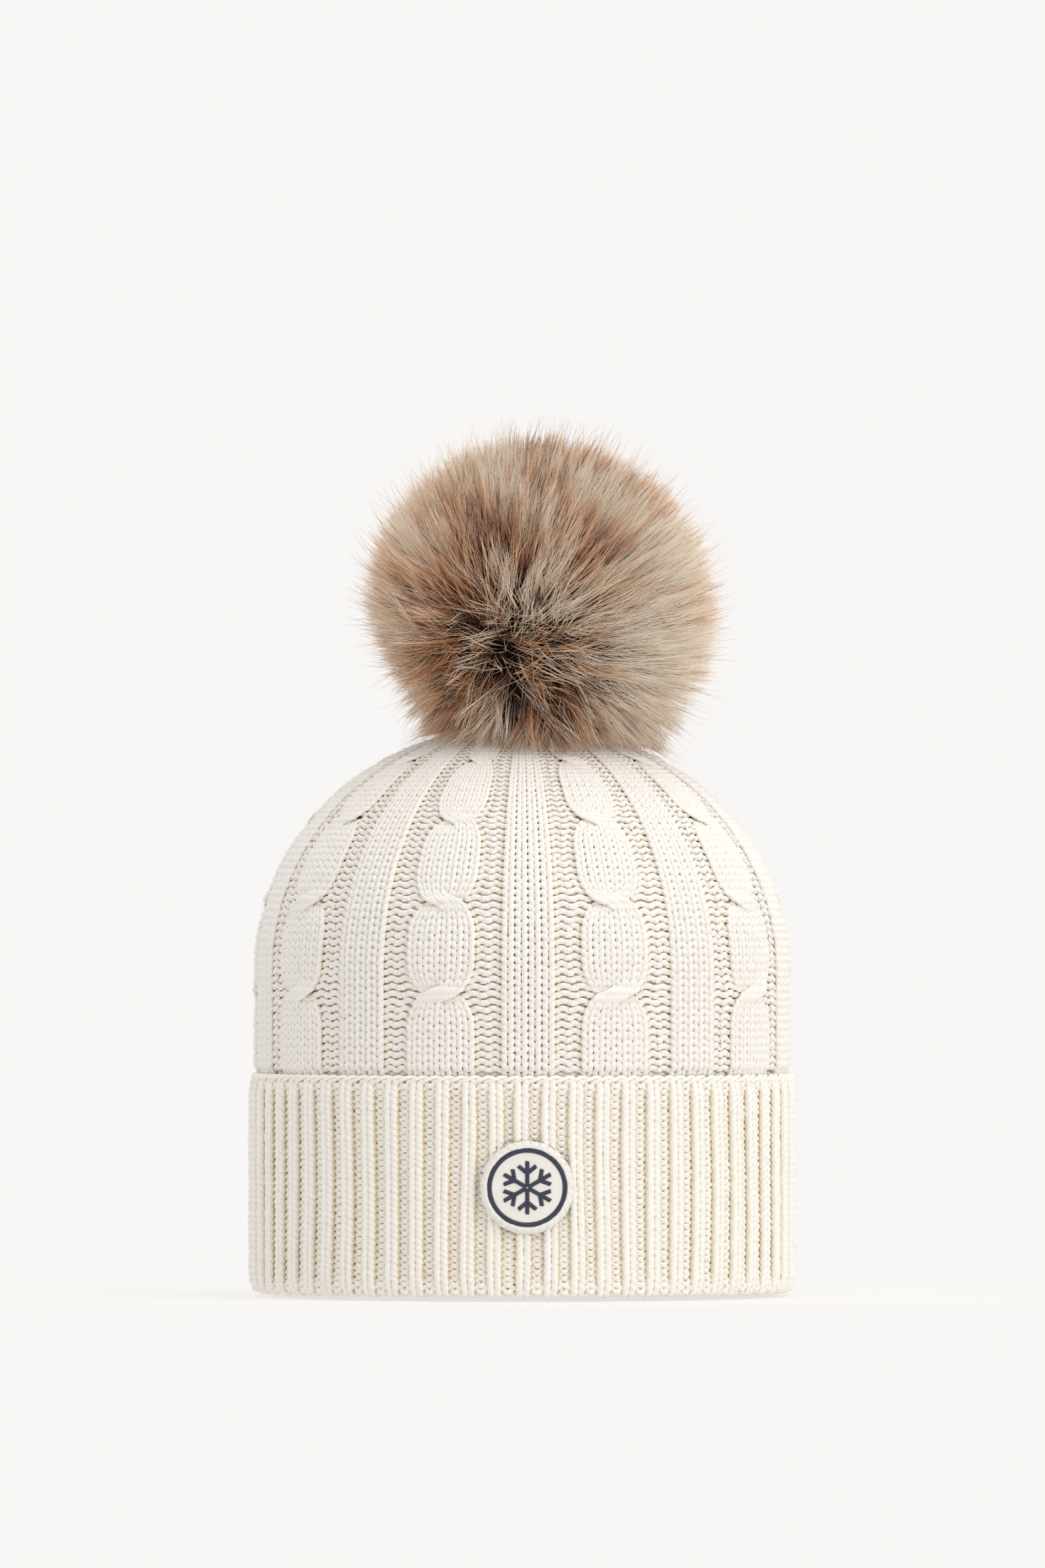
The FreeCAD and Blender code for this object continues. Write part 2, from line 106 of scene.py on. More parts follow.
def new_mesh(name, points, quads, uv, facts=None):
    """An object from arrays of points, four-cornered faces, the faces' UVs and values at the points."""
    mesh = bpy.data.meshes.new(name)
    mesh.vertices.add(len(points))
    mesh.vertices.foreach_set("co", points.astype(np.float32).ravel())
    mesh.loops.add(quads.size)
    mesh.loops.foreach_set("vertex_index", quads.astype(np.int32).ravel())
    mesh.polygons.add(len(quads))
    mesh.polygons.foreach_set("loop_start", np.arange(0, quads.size, 4, dtype=np.int32))
    mesh.update(calc_edges=True)
    mesh.shade_smooth()
    mesh.uv_layers.new(name=UV_LAYER).data.foreach_set("uv", uv.astype(np.float32).ravel())
    for fact, values in (facts or {}).items():
        layer = mesh.attributes.new(fact, "FLOAT", "POINT")
        layer.data.foreach_set("value", values.astype(np.float32).ravel())
    thing = bpy.data.objects.new(name, mesh)
    bpy.context.scene.collection.objects.link(thing)
    return thing


def grid_faces(rows, columns, closed):
    """The four-cornered faces of a grid of points, and UVs from 0 to 1 for their corners."""
    row = np.arange(rows - (not closed[0]))[:, None]
    column = np.arange(columns - (not closed[1]))[None, :]
    corners = []
    uv = []
    for next_row, next_column in ((0, 0), (0, 1), (1, 1), (1, 0)):
        corners.append((row + next_row) % rows * columns + (column + next_column) % columns)
        u = (column + next_column) / column.size
        v = (row + next_row) / row.size
        uv.append(np.stack(np.broadcast_arrays(u, v), -1))
    return np.stack(corners, -1).reshape(-1, 4), np.stack(uv, -2).reshape(-1, 2)


def tubes(name, paths, facing, radii, sides, facts=None):
    """Many round tubes in one object. paths is (tubes, steps, 3), facing a direction off each path,
    radii is (tubes, steps), and each fact has a value for every step of every tube."""
    count, steps, _ = paths.shape
    along = unit(np.gradient(paths, axis=1))
    side = unit(np.cross(along, facing))
    up = np.cross(side, along)
    spin = np.arange(sides) * TURN / sides
    ring = np.cos(spin)[:, None] * up[:, :, None] + np.sin(spin)[:, None] * side[:, :, None]
    points = (paths[:, :, None] + radii[:, :, None, None] * ring).reshape(-1, 3)
    quads, uv = grid_faces(steps, sides, closed=(False, True))
    tube = np.arange(count)[:, None, None]
    tiles = math.ceil(math.sqrt(count))
    tile = np.concatenate([tube % tiles, tube // tiles], -1)
    quads = (tube * steps * sides + quads).reshape(-1, 4)
    uv = ((tile + 0.1 + 0.8 * uv) / tiles).reshape(-1, 2)
    facts = {key: np.repeat(values.reshape(-1), sides) for key, values in (facts or {}).items()}
    return new_mesh(name, points, quads, uv, facts)


def surface(name, grid, closed=(False, False), facts=None):
    """One skin through a grid of points (rows, columns, 3), closed on itself either way."""
    rows, columns, _ = grid.shape
    quads, uv = grid_faces(rows, columns, closed)
    return new_mesh(name, grid.reshape(-1, 3), quads, 0.01 + 0.98 * uv, facts)


def thicken(thing, thickness):
    """Gives a skin its thickness, half on each side."""
    wall = thing.modifiers.new("thickness", "SOLIDIFY")
    wall.thickness = thickness
    wall.offset = 0


# ---- materials


class Look:
    """A material being wired up: a principled shader and short ways to add nodes to it."""

    def __init__(self, name, roughness, sheen=0.0):
        self.material = bpy.data.materials.new(name)
        self.material.use_nodes = True
        self.tree = self.material.node_tree
        self.shader = self.tree.nodes["Principled BSDF"]
        basics = {"Roughness": roughness, "Sheen Weight": sheen, "Sheen Roughness": 0.6}
        for socket, value in {**basics, "Specular IOR Level": 0.25}.items():
            self.shader.inputs[socket].default_value = value
        self.place = self.node("TexCoord").outputs["Object"]

    def set(self, socket, value):
        if isinstance(value, bpy.types.NodeSocket):
            self.tree.links.new(value, socket)
        elif isinstance(value, (tuple, list)) and socket.type == "RGBA":
            socket.default_value = (*value[:3], 1)
        else:
            socket.default_value = value

    def node(self, kind, inputs=(), **settings):
        """A new node, its inputs set to values or wired to the outputs of other nodes."""
        node = self.tree.nodes.new("ShaderNode" + kind)
        for name, value in settings.items():
            setattr(node, name, value)
        for name, value in dict(inputs).items():
            self.set(node.inputs[name], value)
        return node

    def noise(self, scale, detail=3.0, stretch=None):
        """A 0 to 1 noise; scale is in cells a metre."""
        place = self.place
        if stretch:
            place = self.node("Mapping", {"Vector": place, "Scale": stretch}).outputs["Vector"]
        return self.node("TexNoise", {"Vector": place, "Scale": scale, "Detail": detail}).outputs["Fac"]

    def fact(self, name):
        return self.node("Attribute", attribute_name=name).outputs["Fac"]

    def outward(self):
        """1 on faces that look away from the middle of the hat, 0 on those that look towards it."""
        off = self.node("VectorMath", {0: self.place, 1: HAT_MIDDLE}, operation="SUBTRACT")
        normal = self.node("NewGeometry").outputs["Normal"]
        inputs = {0: off.outputs["Vector"], 1: normal}
        side = self.node("VectorMath", inputs, operation="DOT_PRODUCT")
        return self.range(side.outputs["Value"], -1 * MM, 1 * MM)

    def ramp(self, value, *stops):
        """A colour from a value, through stops of (position, colour)."""
        node = self.node("ValToRGB", {"Fac": value})
        marks = node.color_ramp.elements
        while len(marks) < len(stops):
            marks.new(0.5)
        for mark, (position, colour) in zip(marks, stops):
            mark.position = position
            mark.color = (*colour, 1)
        return node.outputs["Color"]

    def range(self, value, start, end, to_start=0.0, to_end=1.0, **settings):
        inputs = {"Value": value, "From Min": start, "From Max": end}
        inputs.update({"To Min": to_start, "To Max": to_end})
        return self.node("MapRange", inputs, **settings).outputs["Result"]

    def mix(self, share, first, second, how="MIX"):
        """A blend of two colours, which are the node's sockets 6 and 7."""
        inputs = {0: share, 6: first, 7: second}
        return self.node("Mix", inputs, data_type="RGBA", blend_type=how).outputs[2]

    def colour(self, value):
        self.set(self.shader.inputs["Base Color"], value)

    def rough(self, value):
        self.set(self.shader.inputs["Roughness"], value)

    def bump(self, height, depth, strength=0.5):
        bump = self.node("Bump", {"Height": height, "Distance": depth, "Strength": strength})
        self.set(self.shader.inputs["Normal"], bump.outputs["Normal"])


# ivory, cooler ivory, then painted shade for where the yarn dives between its neighbours: cream in part,
# ochre deepest
CROWN_WOOL_AND_SHADE = ((0.87, 0.835, 0.785), (0.865, 0.838, 0.80), (0.86, 0.80, 0.69), (0.68, 0.55, 0.34))
CUFF_WOOL_AND_SHADE = ((0.90, 0.86, 0.785), (0.895, 0.865, 0.81), (0.88, 0.80, 0.65), (0.68, 0.50, 0.26))


def wool(name, ivory, cool, painted_half_shade, painted_deep_shade):
    """Yarn: slightly uneven in tint, with painted shade where it dives between its neighbours, creamier
    and then ochre.
    """
    look = Look(name, 0.9, sheen=0.2)
    depth = look.fact("depth")
    face = look.mix(look.noise(14), ivory, cool)
    # painted shade from the depth fact: cream in part, ochre where the yarn dives deepest
    body = look.mix(look.range(depth, 0.30, 0.75), painted_half_shade, face)
    look.colour(look.mix(look.range(depth, 0.0, 0.34), painted_deep_shade, body))
    look.rough(look.range(look.noise(700), 0.3, 0.7, 0.82, 0.98))
    look.bump(look.noise(1500, detail=4), 0.35 * MM, 0.55)
    return look.material


def wool_shade():
    """The skin behind the yarn: painted ochre shade where it shows through the gaps between stitches,
    ivory from inside the hat.
    """
    look = Look("wool_shade", 0.95)
    # painted shade: the ochre that the gaps between stitches show from outside
    gap = look.mix(look.noise(300), (0.70, 0.57, 0.36), (0.80, 0.70, 0.52))
    lining = look.mix(look.noise(220), (0.80, 0.77, 0.70), (0.87, 0.85, 0.79))
    look.colour(look.mix(look.outward(), lining, gap))
    look.bump(look.noise(1200), 0.3 * MM)
    return look.material


def fleece():
    look = Look("fleece", 0.95, sheen=0.5)
    look.colour(look.mix(look.noise(60), (0.80, 0.77, 0.70), (0.87, 0.85, 0.79)))
    look.bump(look.noise(450, detail=6), 0.8 * MM, 0.8)
    return look.material


def felt(name="felt", light=(0.84, 0.815, 0.765), dark=(0.76, 0.73, 0.67)):
    look = Look(name, 0.92, sheen=0.4)
    look.colour(look.mix(look.noise(160, detail=6), dark, light))
    look.bump(look.noise(1400, detail=6), 0.3 * MM, 0.6)
    return look.material


def thread(name, dark, light, roughness, sheen):
    """Sewing or embroidery thread, with the fine slant of its twist."""
    look = Look(name, roughness, sheen)
    look.colour(look.mix(look.noise(500), dark, light))
    look.rough(look.range(look.noise(900), 0.3, 0.7, roughness - 0.08, roughness + 0.08))
    look.bump(look.noise(4000, stretch=(1, 1, 0.4)), 0.06 * MM)
    return look.material


def metal(name, tint):
    look = Look(name, 0.3)
    look.shader.inputs["Metallic"].default_value = 1.0
    look.colour(look.mix(look.noise(120), tint, tuple(0.85 * c for c in tint)))
    look.rough(look.range(look.noise(250, detail=5), 0.3, 0.7, 0.2, 0.42))
    look.bump(look.noise(2500, stretch=(1, 1, 6)), 0.02 * MM, 0.3)
    return look.material


def cloth(name, dark, light):
    look = Look(name, 0.9, sheen=0.2)
    look.colour(look.mix(look.noise(200, detail=5), dark, light))
    look.bump(look.noise(900, detail=5), 0.4 * MM, 0.7)
    return look.material


def tape():
    """Blank satin tape."""
    look = Look("label_tape", 0.45, sheen=0.3)
    look.colour(look.mix(look.noise(90), (0.84, 0.84, 0.82), (0.89, 0.89, 0.88)))
    look.rough(look.range(look.noise(400), 0.3, 0.7, 0.38, 0.55))
    look.bump(look.noise(1800, stretch=(1, 1, 8)), 0.05 * MM, 0.4)
    return look.material


CREAM = (1.0, 0.90, 0.76)
TAN = (0.97, 0.63, 0.37)
GINGER = (0.80, 0.37, 0.16)
BROWN = (0.26, 0.090, 0.036)
HAIR_ROOT = (0.055, 0.020, 0.009)


def fur_look():
    """Hair that is dark at the root, then its own tone, and paler towards the tip."""
    look = Look("fur", 0.6, sheen=0.05)
    tone = look.ramp(look.fact("tone"), (0.0, CREAM), (0.38, TAN), (0.66, GINGER), (1.0, BROWN))
    along = look.fact("along")
    pale = look.mix(look.range(along, 0.60, 1.0, 0.0, 0.30), tone, CREAM)
    body = look.mix(look.range(along, 0.30, 0.63), HAIR_ROOT, pale)
    uneven = look.mix(look.noise(260), (0.88, 0.86, 0.85), (1.0, 1.0, 1.0))
    look.colour(look.mix(1.0, body, uneven, "MULTIPLY"))
    look.rough(look.range(look.noise(500), 0.3, 0.7, 0.5, 0.7))
    look.bump(look.noise(3000), 0.05 * MM, 0.2)
    return look.material


# ---- knitting

STITCH_LEAN = 0.185  # how far a loop's legs lean out, in stitch widths
STITCH_DEPTH = 0.16  # how far a loop dives, in stitch widths
LOOP_OVERLAP = 0.22  # how far a loop's yarn runs on into the next loop's, in radians
YARN_FILL = 0.268  # a yarn's radius in a narrow wale, in stitch widths
UNEVEN_PLACE = 0.10 * MM
UNEVEN_LEAN = 0.16  # share of the lean
UNEVEN_HEIGHT = 0.06 * MM


class Profile:
    """The line that a knitted wall is turned from: radius, level and outward normal along its arc."""

    def __init__(self, radius, level, zero_level=None):
        step = np.hypot(np.diff(radius), np.diff(level))
        self.arc = np.concatenate([[0], np.cumsum(step)])
        if zero_level is not None:
            self.arc -= np.interp(zero_level, level, self.arc)
        self.radius = radius
        self.level = level
        rise = np.gradient(level, self.arc)
        run = np.gradient(radius, self.arc)
        length = np.hypot(rise, run)
        self.out = rise / length
        self.up = -run / length

    def at(self, arc):
        return [np.interp(arc, self.arc, line) for line in (self.radius, self.level, self.out, self.up)]


def turned_point(angle, radius, level):
    """Angle 0 is the front of the hat, and it grows towards +X."""
    return np.stack([radius * np.sin(angle), -radius * np.cos(angle), level], -1)


def crown_profile():
    """From behind the cuff's lip, out to full width just above it, and over the dome to the disc."""
    wide = CROWN_RADIUS - CROWN_RELIEF
    tucked = wide - 2.4 * MM
    bottom = CUFF_TOP - 2.2 * MM
    flare_start = CUFF_TOP - 1.4 * MM
    flare_height = 3.6 * MM
    level = np.linspace(bottom, WIDEST_LEVEL, 120)
    radius = tucked + (wide - tucked) * smooth((level - flare_start) / flare_height)
    flat = CROWN_FLAT - CROWN_RELIEF
    turn = np.linspace(0, math.pi / 2, 400)[1:]
    dome_radius = wide * np.cos(turn)
    dome_level = WIDEST_LEVEL + (CROWN_RISE - CROWN_RELIEF) * np.sin(turn)
    seen = dome_radius > high("outer_disc").x * 0.9
    radius = np.concatenate([radius, dome_radius[seen]])
    level = np.concatenate([level, np.minimum(dome_level[seen], flat)])
    return Profile(radius, level, CUFF_TOP)


def cuff_profile():
    """Down the inside, round the bottom fold, up the outside and over the lip."""
    outer = CUFF_RADIUS - CUFF_RELIEF
    fold = 1.4 * MM
    lip = 1.1 * MM
    inside_height = 1.5 * MM
    lip_height = 1.2 * MM
    turn = np.linspace(0, math.pi, 24)
    fold_middle = outer - fold
    fold_level = CUFF_RELIEF + fold + 0.1 * MM
    lip_level = CUFF_TOP - CUFF_RELIEF - lip + 0.7 * MM
    climb = np.linspace(fold_level, lip_level, 162)[1:-1]
    radius = [
        [fold_middle - fold],
        fold_middle - fold * np.cos(turn),
        np.full(climb.size, outer),
        outer - lip + lip * np.cos(turn),
        [outer - 2 * lip],
    ]
    level = [
        [fold_level + inside_height],
        fold_level - fold * np.sin(turn),
        climb,
        lip_level + lip * np.sin(turn),
        [lip_level - lip_height],
    ]
    return Profile(np.concatenate(radius), np.concatenate(level))


class Fabric:
    """A round knitted wall: its profile, its wales and the courses that are knitted on them."""

    heads = 1  # -1 where the fabric is turned up, so that the loops hang head down
    knit_reach = 1.62 * MM  # from the middle of a knit loop to its head
    purl_reach = 1.62 * MM
    purl_slim = 0.95  # a purl loop's yarn against a knit one's, which is plumper
    purl_shade_scale = 1.0  # scales a purl loop's painted shade mask: below 1, the sunk purl wales are painted creamier and more ochre, as painted shade

    def __init__(self, profile, base_radius, yarn, seed):
        self.profile = profile
        self.base_radius = base_radius
        self.yarn = yarn
        self.chance = np.random.default_rng(seed)

    def courses(self, name, arcs, samples=12, sides=6):
        """One loop of yarn for each wale of each course; arcs gives each course's place."""
        rows = len(arcs)
        t = np.linspace(-LOOP_OVERLAP, TURN + LOOP_OVERLAP, samples + 1)[None, None, :]
        wale = np.arange(WALES)[None, :, None]
        jitter = self.chance.normal(0, 1, (3, rows, WALES, 1))
        arc = np.asarray(arcs)[:, None, None] + UNEVEN_PLACE * jitter[0]
        lean = STITCH_LEAN * (1 + UNEVEN_LEAN * jitter[1])
        across = t / TURN - 0.5 + lean * np.sin(2 * t)
        purl = self.is_purl(wale)
        reach = np.where(purl, self.purl_reach, self.knit_reach)
        along = arc - self.heads * reach * np.cos(t)
        centre, width, lift, face = self.wale_at(wale, along, across)
        radius, level, out, up = self.profile.at(along)
        shrink = np.clip(radius / self.base_radius, 0.12, 1) ** 0.8
        dive = -face * STITCH_DEPTH * width * np.cos(2 * t)
        height = (lift + dive) * shrink + UNEVEN_HEIGHT * jitter[2]
        angle = self.stretched((centre + across * width) / self.base_radius)
        path = turned_point(angle, radius + height * out, level + height * up)
        facing = turned_point(angle, out, up)
        yarn = np.minimum(self.yarn, YARN_FILL * width)
        thick = yarn * shrink * np.where(purl, self.purl_slim, 1.0)
        # The depth fact is the painted shade mask that wool() reads: 1 on a crest, down to 0 where the
        # yarn dives, and lower at the borders between knit and purl wales, where it is painted ochre as
        # painted shade.
        depth = smooth((dive / (STITCH_DEPTH * width) + 1) / 2) * (0.35 + 0.65 * np.abs(face))
        depth = depth * np.where(purl, self.purl_shade_scale, 1.0)
        shape = (rows * WALES, samples + 1)
        return tubes(
            name,
            path.reshape(*shape, 3),
            facing.reshape(*shape, 3),
            np.broadcast_to(thick, path.shape[:3]).reshape(shape),
            sides,
            {"depth": np.broadcast_to(depth, path.shape[:3]).reshape(shape)},
        )

    def stretched(self, angle):
        return angle

    def backing(self, name, sink):
        """A thin skin in the middle of the yarn layer, so that no light leaks between stitches."""
        arc = np.linspace(self.profile.arc[0], self.profile.arc[-1], 90)[:, None]
        angle = np.linspace(0, TURN, 378, endpoint=False)[None, :]
        radius, level, out, up = self.profile.at(arc)
        reach = radius - sink * out + 0 * angle
        grid = turned_point(angle + 0 * arc, reach, level - sink * up + 0 * angle)
        skin = surface(name, grid, closed=(False, True))
        thicken(skin, 0.3 * MM)
        return skin


class Rib(Fabric):
    """One knit wale, one purl wale, all the way round."""

    knit_share = 0.52
    proud = 0.66 * MM
    heads = -1
    knit_reach = 2.0 * MM
    purl_reach = 1.75 * MM
    # the sunk purl wales of the rib get some painted shade
    purl_shade_scale = 0.80
    purl_slim = 0.87
    soft_edge = 1.2 * MM  # where the ribs are gone, at the fold and the lip
    soft_fade = 4.0 * MM
    drift = 0.45 * MM  # how far the ribs wander

    def is_purl(self, wale):
        return wale % 2 == 1

    def wale_at(self, wale, along, across):
        pair = TURN * self.base_radius / (WALES / 2)
        knit = wale % 2 == 0
        width = pair * np.where(knit, self.knit_share, 1 - self.knit_share)
        centre = pair * (wale // 2) + np.where(knit, 0, pair / 2)
        wander = np.sin(centre / (21 * MM) + 1.0) * np.sin(along / (13 * MM) + centre / (33 * MM))
        side = np.where(knit, 1.0, -1.0)
        border = smooth((np.abs(across) - 0.34) / 0.16)
        face = side * (1 - border)
        level = self.profile.at(along)[1]
        above_fold = smooth((level - self.profile.level.min() - self.soft_edge) / self.soft_fade)
        below_lip = smooth((self.profile.level.max() - self.soft_edge - level) / self.soft_fade)
        lift = self.proud * face * (0.15 + 0.85 * above_fold * below_lip)
        return centre + self.drift * wander, width + 0 * along, lift, face


class Cables(Fabric):
    """Cables of six wales between pairs of purl wales, with columns of four knit wales between."""

    cable_width = 0.398
    purl_width = 0.149
    crossings = (26.3 * MM, 56.1 * MM, 85.9 * MM, 115.7 * MM)
    crossing_half = 2.7 * MM
    crossing_reach = 5.2 * MM  # how far above and below a crossing the cable is pinched
    pinch = 0.33
    strand_fan = 0.55
    strand_front = 1.15 * MM
    strand_back = -0.7 * MM
    knit_proud = 0.35 * MM
    purl_sunk = -0.70 * MM
    cable_bulge = 0.5 * MM
    # the sunk purl wales beside the cables get some painted shade
    purl_shade_scale = 0.85
    middle_angle = math.radians(1.2)
    gathered_front = 0.048  # how much closer the wales stand at the front than at the back

    def is_purl(self, wale):
        return np.searchsorted(LAST_SLOTS, wale % REPEAT_WALES) % 2 == 1

    def stretched(self, angle):
        return angle - self.gathered_front * np.sin(angle) + self.middle_angle

    def strand_slots(self, slot, cable, along):
        """Where a cable's wale lies, in slots of -2.5 to 2.5, and how far it is in front of the rest.

        At each crossing the three wales on the left change places with the three on the right."""
        half = CABLE_WALES / 2
        place = slot + 0 * along
        lift = 0 * along + 0 * slot
        for number, arc in enumerate(self.crossings):
            leftward = (cable < REPEATS / 2) & (number > 0)
            side = np.where(place < 0, -1.0, 1.0)
            strand_middle = side * half / 2
            front = np.where(leftward, side, -side)
            near = np.exp(-(((along - arc) / (1.15 * self.crossing_half)) ** 2))
            lift = lift + near * np.where(front > 0, self.strand_front, self.strand_back)
            passed = smooth((along - arc) / (2 * self.crossing_half) + 0.5)
            fan = 1 + self.strand_fan * 4 * passed * (1 - passed)
            place = strand_middle * (1 - 2 * passed) + (place - strand_middle) * fan
        return place, lift

    def wale_at(self, wale, along, across):
        """The groups of a repeat, in order: the cable, two purl wales, the column, two purl wales."""
        cable = wale // REPEAT_WALES
        slot = wale % REPEAT_WALES
        group = np.searchsorted(LAST_SLOTS, slot)
        near = sum(np.exp(-(((along - arc) / self.crossing_reach) ** 2)) for arc in self.crossings)
        squeeze = self.pinch * near
        cable_half = self.cable_width / 2 * (1 - squeeze)
        purl = (self.purl_width + squeeze * self.cable_width / 2) / PURL_WALES
        knit = (1 - self.cable_width - 2 * self.purl_width) / COLUMN_WALES + 0 * along
        strand, strand_lift = self.strand_slots(slot - (CABLE_WALES - 1) / 2, cable, along)
        places = [
            strand / CABLE_WALES * self.cable_width * (1 - squeeze),
            cable_half + (slot - CABLE_WALES + 0.5) * purl,
            self.cable_width / 2 + self.purl_width + (slot - CABLE_WALES - PURL_WALES + 0.5) * knit,
            1 - cable_half + (slot - REPEAT_WALES + 0.5) * purl,
        ]
        widths = [self.cable_width / CABLE_WALES * (1 - 0.5 * squeeze), purl, knit, purl]
        at_right = np.isin(slot, LAST_SLOTS)
        at_left = np.isin((slot - 1) % REPEAT_WALES, LAST_SLOTS)
        towards = smooth((np.abs(across) - 0.25) / 0.25)
        border = towards * np.where(across > 0, at_right, at_left)
        is_purl = group % 2 == 1
        face = np.where(is_purl, -1.0, 1.0) * (1 - border)
        bulge = self.cable_bulge * (1 - (strand / (CABLE_WALES / 2)) ** 2) * (1 - near)
        lift = np.where(is_purl, self.purl_sunk, self.knit_proud) * (1 - border)
        lift = lift + np.where(group == 0, strand_lift + bulge, 0)
        repeat = TURN * self.base_radius / REPEATS
        centre = (cable + np.choose(group, places) - 0.5) * repeat
        return centre, np.choose(group, widths) * repeat, lift, face


def in_bands(fabric, name, arcs, band, look, node, **quality):
    """The courses in pieces of a few courses each, of which the first stands for the CAD node."""
    for number, start in enumerate(range(0, len(arcs), band), 1):
        piece = fabric.courses(f"{name}_{number}", arcs[start : start + band], **quality)
        finish_piece(piece, look, "hat", "wool", *([node] if number == 1 else []))


def finish_piece(piece, look, body, slot, *nodes):
    """Gives a piece its material and body, and hides the CAD nodes that it stands for. The slot is not
    used.
    """
    piece.data.materials.append(look)
    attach(piece, body)
    if nodes:
        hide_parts(*nodes)
    return piece


def knit_crown(yarn_look, shade_look):
    profile = crown_profile()
    crown = Cables(profile, CROWN_RADIUS - CROWN_RELIEF, 1.12 * MM, seed=11)
    arcs = np.arange(profile.arc[0] + 1.0 * MM, profile.arc[-1], 2.4 * MM)
    in_bands(crown, "crown_courses", arcs, 10, yarn_look, "crown_knit")
    skin = crown.backing("crown_backing", 0.9 * MM)
    finish_piece(skin, shade_look, "hat", "wool")


def knit_cuff(yarn_look, shade_look):
    profile = cuff_profile()
    cuff = Rib(profile, CUFF_RADIUS - CUFF_RELIEF, 1.24 * MM, seed=12)
    arcs = np.arange(profile.arc[0] + 0.6 * MM, profile.arc[-1], 2.05 * MM)
    in_bands(cuff, "cuff_courses", arcs, 10, yarn_look, "turned_up_cuff")
    skin = cuff.backing("cuff_backing", 0.7 * MM)
    finish_piece(skin, shade_look, "hat", "wool")
    edge = (CUFF_RADIUS - 2.2 * MM, CUFF_TOP - 1.5 * MM, 1.15 * MM)
    ring_yarn("cuff_bound_edge", edge, 2, WALES // 2, yarn_look, "hat", "wool")


def knit_inner_band(yarn_look):
    """The half of the rib that lies against the fleece; coarser, because little of it shows."""
    margin = 2.2 * MM
    inner = -low("fleece_band").x + 0.2 * MM
    radius = (high("inner_band").x + inner) / 2
    levels = np.linspace(low("inner_band").z + margin, high("inner_band").z - margin, 60)
    profile = Profile(np.full(60, radius), levels)
    band = Rib(profile, radius, 0.85 * MM, seed=13)
    band.proud = 0.2 * MM
    arcs = np.arange(profile.arc[0], profile.arc[-1], 2.2 * MM)
    in_bands(band, "inner_band_courses", arcs, 16, yarn_look, "inner_band", samples=8, sides=4)


# ---- fur

FUR_STRANDS = 43000
GUARD_HAIRS = 3500
LOCKS = 6500  # tufts that the hairs gather into
THINNED = 0.55  # share of the tufts that are missing at the whorl
FUR_PIECES = 9
HAIR_STEPS = 6
HAIR_RADIUS = 0.165 * MM
GUARD_RADIUS = 0.10 * MM
LOCK_CURL = 1.6 * MM
HAIR_CURL = 1.1 * MM
GUARD_CURL = 1.5 * MM
SHORTEST_HAIR = 4 * MM
WHORL_SHADE = 0.28  # how much further up the dark roots go at the whorl: partly the hair's own dark roots, partly painted shade where one looks down into the hair
FRINGE_DROOP = 9 * MM  # how far the lowest hairs hang down over the crown
WHORL = unit(np.array([-0.30, -0.72, -0.64]))  # the side of the ball that the hair parts from
LOW_LEFT = unit(np.array([-0.76, -0.10, -0.64]))  # where the ball is trimmed closer
FAN = 0.62  # how far towards the whorl the point lies that the hairs fan out from


def scatter(count, chance):
    """Directions spread evenly over a ball, slightly shaken."""
    index = np.arange(count) + 0.5
    height = 1 - 2 * index / count
    angle = index * math.pi * (1 + 5**0.5)
    flat = np.sqrt(1 - height**2)
    even = np.stack([flat * np.cos(angle), flat * np.sin(angle), height], -1)
    return unit(even + chance.normal(0, 1.2 / math.sqrt(count), even.shape))


def patchy(direction, chance, waves=14, low_pitch=2.0, high_pitch=6.0):
    """A smooth random value, about -1 to 1, for each direction."""
    total = 0
    for _ in range(waves):
        wave = unit(chance.normal(0, 1, 3)) * chance.uniform(low_pitch, high_pitch)
        total = total + np.sin(direction @ wave + chance.uniform(0, TURN))
    return total / math.sqrt(waves / 2)


def near_whorl(direction, reach):
    """1 at the whorl, falling to 0 a few reaches (radians) away."""
    return np.exp(-((np.arccos(np.clip(direction @ WHORL, -1, 1)) / reach) ** 2))


def hair_paths(direction, reach, curl, chance, wild):
    """Hairs from the core out to the ball's surface, times reach, fanning away from the whorl."""
    count = len(direction)
    mess = wild * (1 + 1.5 * near_whorl(direction, 0.42))
    shake = chance.normal(0, 1, (count, 3)) * mess[:, None]
    fan = FAN * (1 - smooth((-0.5 - direction[:, 2:]) / 0.3))
    heading = unit(direction - fan * WHORL + shake)
    root = np.array(CORE_CENTRE) + direction * CORE_RADIUS * 0.98
    off = root - np.array(FUR_CENTRE)
    inward = np.sum(off * heading, -1)
    low_left = np.exp(-((np.linalg.norm(direction - LOW_LEFT, axis=-1) / 0.45) ** 2))
    trimmed = FUR_RADIUS * reach * (1 - 0.16 * low_left)
    square = inward**2 - np.sum(off**2, -1) + trimmed**2
    span = -inward + np.sqrt(np.maximum(square, SHORTEST_HAIR**2))
    u = np.linspace(0, 1, HAIR_STEPS + 1)[None, :, None]
    arch = 0.45 * u * (1 - u)
    line = heading[:, None] * (u - arch) + direction[:, None] * arch
    bend = unit(np.cross(heading, chance.normal(0, 1, (count, 3))))[:, None]
    wave = bend * curl[:, None, None] * np.sin(u * math.pi * chance.uniform(0.8, 1.8, (count, 1, 1)))
    hanging = smooth((-0.35 - direction[:, 2]) / 0.35) * np.exp(-((direction[:, 0] / 0.45) ** 2))
    droop = FRINGE_DROOP * hanging[:, None, None] * np.array([0, 0, -1]) * u * u
    return root[:, None] + span[:, None, None] * line + wave * u + droop


def nearest_of(places, directions):
    """For each direction, the number of the nearest of the places."""
    tree = KDTree(len(places))
    for number, place in enumerate(places):
        tree.insert(place, number)
    tree.balance()
    return np.array([tree.find(direction)[1] for direction in directions])


